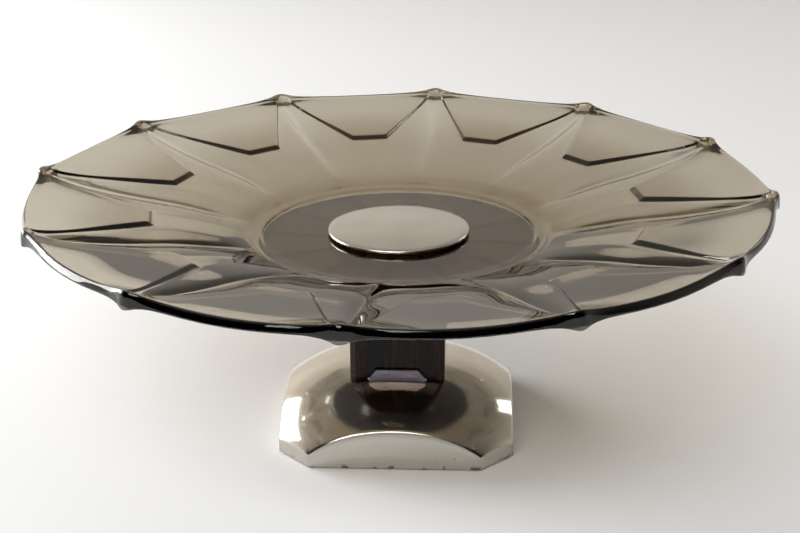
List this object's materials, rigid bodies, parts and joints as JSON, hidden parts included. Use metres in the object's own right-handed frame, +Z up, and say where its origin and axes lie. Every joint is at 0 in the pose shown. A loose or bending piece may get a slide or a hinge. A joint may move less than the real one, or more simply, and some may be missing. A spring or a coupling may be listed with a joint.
{
  "type": "footed glass centrepiece dish",
  "caption": "Smoked glass centrepiece dish with twelve raised panels and a scalloped rim, clamped on an ebony stem and a domed silver-plated foot.",
  "frame": {"origin": "on the table, under the middle of the foot", "axes": "+Z up along the tie rod, -Y out of the face of the foot and stem that carries the plaque, +X to the right of that face"},
  "size_m": [0.329, 0.329, 0.1164],
  "materials": {
    "smoked_glass": "fire-polished pressed glass, smoked taupe, clear",
    "silver_satin": "silver plate, satin, finely scratched",
    "silver_polished": "silver plate, mirror-polished, worn along its lower edge",
    "ebony": "macassar ebony, french polished",
    "brass": "turned, plain",
    "steel": "zinc-plated, plain",
    "cork": "ground cork sheet",
    "rubber": "matt black",
    "felt": "wool felt"
  },
  "bodies": {
    "root": {"glass_dish": "smoked_glass", "centre_cap": "silver_satin", "cap_boss": "brass", "cap_gasket": "cork", "dish_bush": "rubber", "dish_gasket": "cork", "seat_plate": "silver_satin", "stem_block": "ebony", "front_plaque": "silver_polished", "plaque_pin_left": "brass", "plaque_pin_right": "brass", "tie_rod": "steel", "stem_dowel_left": "steel", "stem_dowel_right": "steel", "foot_shell": "silver_polished", "saddle_plate": "steel", "clamp_washer": "steel", "spring_washer": "steel", "clamp_nut": "steel", "base_plate": "steel", "base_pad": "felt", "seat_screw_1": "brass", "foot_post_1": "brass", "base_screw_1": "steel", "seat_screw_2": "brass", "foot_post_2": "brass", "base_screw_2": "steel", "seat_screw_3": "brass", "foot_post_3": "brass", "base_screw_3": "steel", "seat_screw_4": "brass", "foot_post_4": "brass", "base_screw_4": "steel"}
  },
  "joints": []
}
